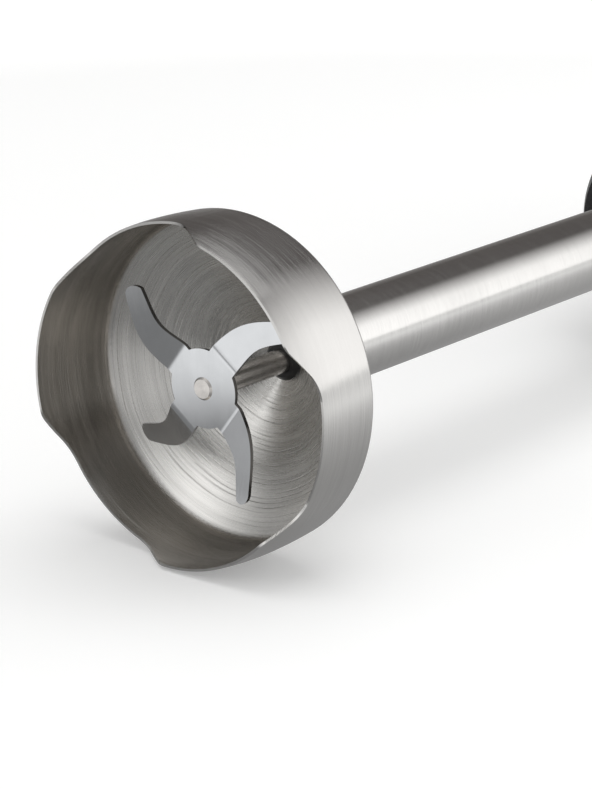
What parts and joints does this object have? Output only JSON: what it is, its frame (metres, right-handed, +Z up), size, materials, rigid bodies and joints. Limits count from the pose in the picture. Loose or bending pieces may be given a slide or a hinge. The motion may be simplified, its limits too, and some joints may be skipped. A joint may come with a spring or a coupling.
{
  "type": "immersion blender",
  "caption": "Hand-held immersion blender: detachable steel foot with a wavy-lipped bell and a pronged blade, motor handle with push buttons and a speed dial.",
  "frame": {"origin": "on the worktop, under the middle of the whole blender as it lies", "axes": "+X along the blender from the bell to the dial end, +Z up, buttons upwards, the handle's back down"},
  "size_m": [0.396, 0.0708, 0.0692],
  "materials": {
    "bell_steel": "brushed, satin",
    "tube_steel": "satin polished",
    "blade_steel": "smooth satin",
    "shaft_steel": "ground",
    "seal_rubber": "matt",
    "bearing_plastic": "moulded",
    "bronze": "sintered",
    "black_plastic": "gloss",
    "housing_plastic": "fine matt",
    "button_plastic": "satin",
    "panel_gloss": "high gloss",
    "trim_steel": "brushed",
    "soft_rubber": "soft touch",
    "spring_steel": "drawn wire",
    "screw_steel": "plated",
    "lamination": "stamped",
    "copper": "enamelled",
    "bracket_metal": "die cast",
    "board_green": "lacquered",
    "part_plastic": "moulded",
    "carbon": "pressed carbon"
  },
  "bodies": {
    "handle": {"handle_nose": "black_plastic", "latch_ring": "spring_steel", "trim_ring": "trim_steel", "housing_top": "housing_plastic", "housing_back": "housing_plastic", "housing_screws": "screw_steel", "soft_grip": "soft_rubber", "control_panel": "panel_gloss", "turbo_switch": "part_plastic", "on_switch": "part_plastic", "turbo_button_spring": "spring_steel", "on_button_spring": "spring_steel", "circuit_board": "board_green", "suppression_capacitor": "part_plastic", "end_cap": "housing_plastic", "cable_gland": "seal_rubber", "potentiometer": "part_plastic", "stator_core": "lamination", "stator_coils": "copper", "front_bracket": "bracket_metal", "rear_bracket": "bracket_metal", "front_bearing": "shaft_steel", "rear_bearing": "shaft_steel", "front_mount_ring": "seal_rubber", "rear_mount_ring": "seal_rubber", "motor_bolts": "screw_steel", "brush_holders": "bronze", "carbon_brushes": "carbon", "brush_springs": "spring_steel"},
    "foot": {"bell_guard": "bell_steel", "shaft_tube": "tube_steel", "shaft_seal": "seal_rubber", "bearing_carrier": "bearing_plastic", "lower_bush": "bronze", "shaft_liner": "bearing_plastic", "middle_bush": "bearing_plastic", "upper_carrier": "bearing_plastic", "upper_bush": "bronze", "thrust_washer": "shaft_steel", "collar_core": "black_plastic", "collar_shell": "black_plastic", "collar_seal": "seal_rubber"},
    "blade_drive": {"blade": "blade_steel", "drive_shaft": "shaft_steel", "shaft_clip": "shaft_steel", "driven_coupling": "bearing_plastic"},
    "rotor": {"motor_shaft": "shaft_steel", "drive_coupling": "bearing_plastic", "rotor_core": "lamination", "rotor_windings": "copper", "commutator": "copper", "cooling_fan": "part_plastic"},
    "turbo_key": {"turbo_button": "button_plastic"},
    "on_key": {"on_button": "button_plastic"},
    "left_release": {"release_button_left": "button_plastic"},
    "right_release": {"release_button_right": "button_plastic"},
    "dial": {"speed_dial": "button_plastic", "dial_spindle": "screw_steel"}
  },
  "joints": [
    {"name": "rotor_spin", "type": "hinge", "parent": "handle", "child": "rotor", "pos_m": [0.076, 0, 0.0338], "axis": [1, 0, 0], "continuous": true},
    {"name": "foot_detach", "type": "slide", "parent": "handle", "child": "foot", "axis": [-1, 0, 0], "range_m": [0, 0.04], "deforming": ["latch_ring"]},
    {"name": "blade_spin", "type": "hinge", "parent": "foot", "child": "blade_drive", "pos_m": [-0.1861, 0, 0.0338], "axis": [1, 0, 0], "continuous": true},
    {"name": "turbo_press", "type": "slide", "parent": "handle", "child": "turbo_key", "axis": [0, 0, -1], "range_m": [0, 0.002], "stiffness_N_per_m": 600, "springref_m": -0.0015, "deforming": ["turbo_button_spring"]},
    {"name": "on_press", "type": "slide", "parent": "handle", "child": "on_key", "axis": [0, 0, -1], "range_m": [0, 0.002], "stiffness_N_per_m": 600, "springref_m": -0.0015, "deforming": ["on_button_spring"]},
    {"name": "left_press", "type": "slide", "parent": "handle", "child": "left_release", "axis": [0, 1, 0], "range_m": [0, 0.002], "stiffness_N_per_m": 600, "springref_m": -0.0015},
    {"name": "right_press", "type": "slide", "parent": "handle", "child": "right_release", "axis": [0, -1, 0], "range_m": [0, 0.002], "stiffness_N_per_m": 600, "springref_m": -0.0015},
    {"name": "dial_turn", "type": "hinge", "parent": "handle", "child": "dial", "pos_m": [0.192, 0, 0.0338], "axis": [-1, 0, 0], "range_deg": [-140, 140]}
  ],
  "couplings": [
    {"joint": "blade_spin", "follows": "rotor_spin", "ratio": 1}
  ]
}
